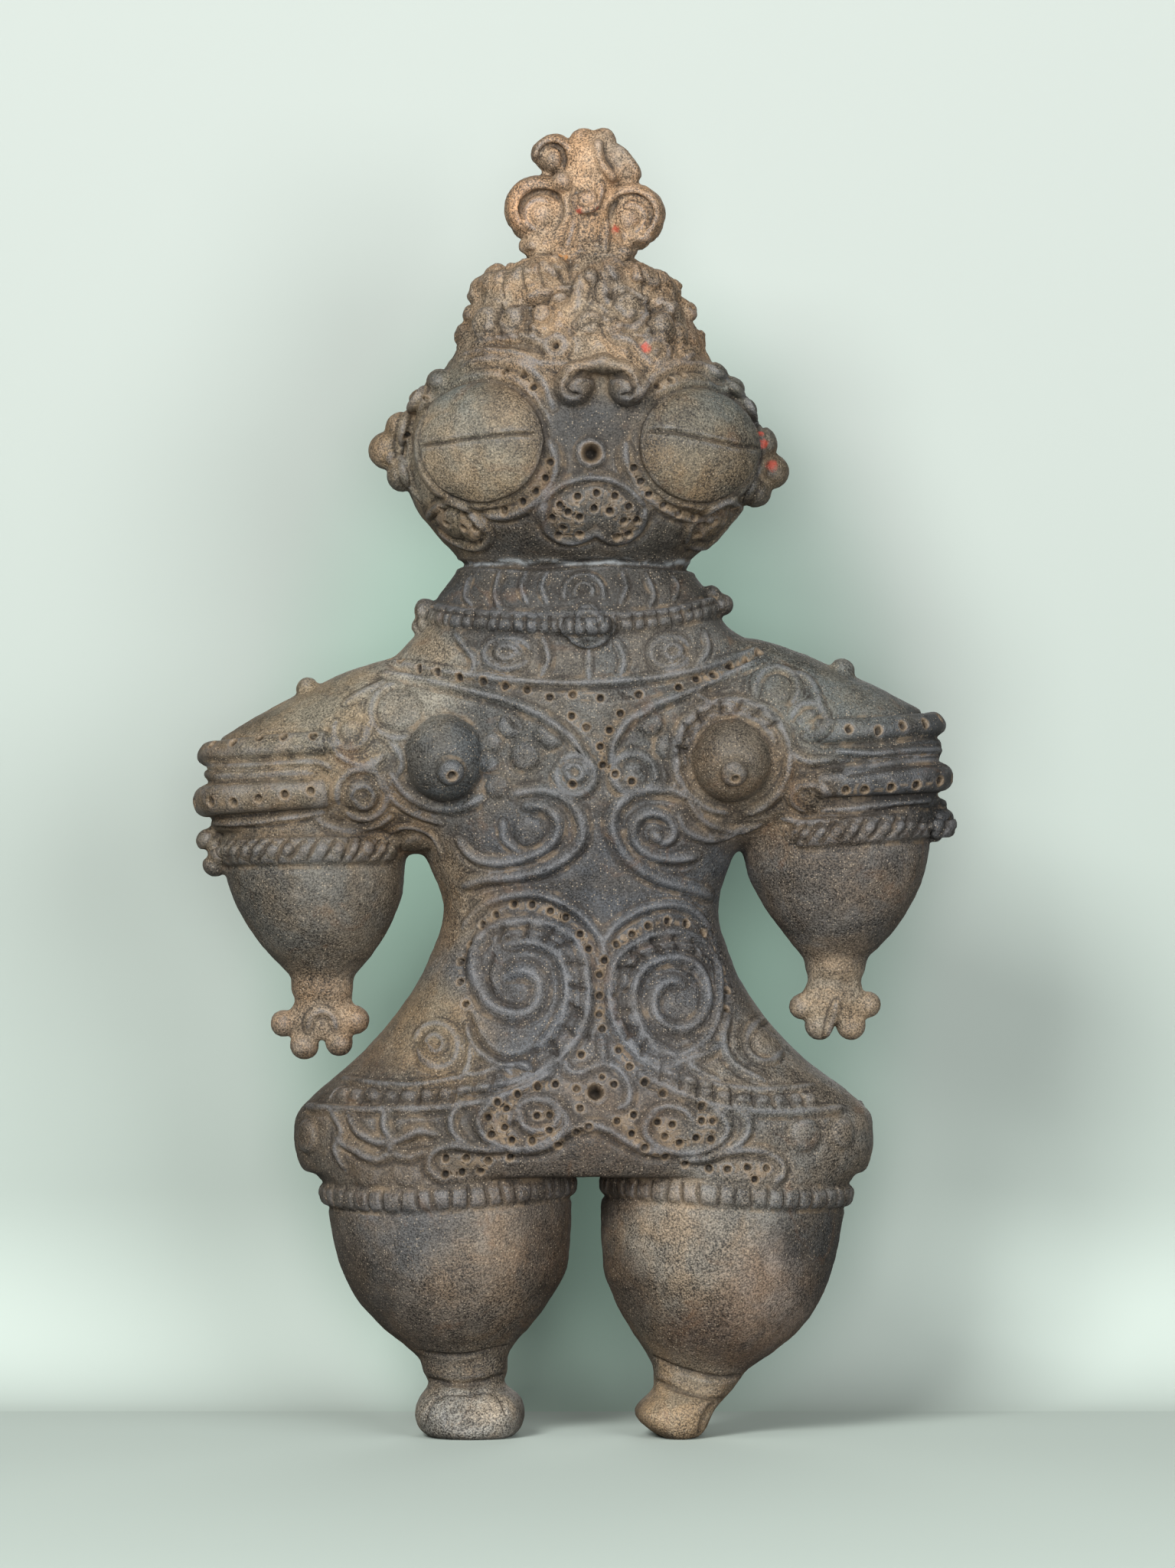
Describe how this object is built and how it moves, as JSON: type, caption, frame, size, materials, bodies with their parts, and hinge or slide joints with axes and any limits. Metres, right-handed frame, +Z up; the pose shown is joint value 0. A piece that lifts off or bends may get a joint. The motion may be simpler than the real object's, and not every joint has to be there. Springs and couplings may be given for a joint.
{
  "type": "clay figurine",
  "caption": "Standing hollow clay figurine with huge slit eyes, a scrolled crest, short arms, wide hips and relief carving.",
  "frame": {"origin": "on the ground under the figurine, midway between the arms' outer edges and between front and back", "axes": "+Z up along the height, +X to the right as one looks at the face, the face towards -Y"},
  "size_m": [0.2073, 0.0766, 0.3598],
  "materials": {
    "fired_clay": "low-fired clay, polished dark grey on the raised parts, tan and gritty in the hollows"
  },
  "bodies": {
    "root": {"figurine": "fired_clay"}
  },
  "joints": []
}
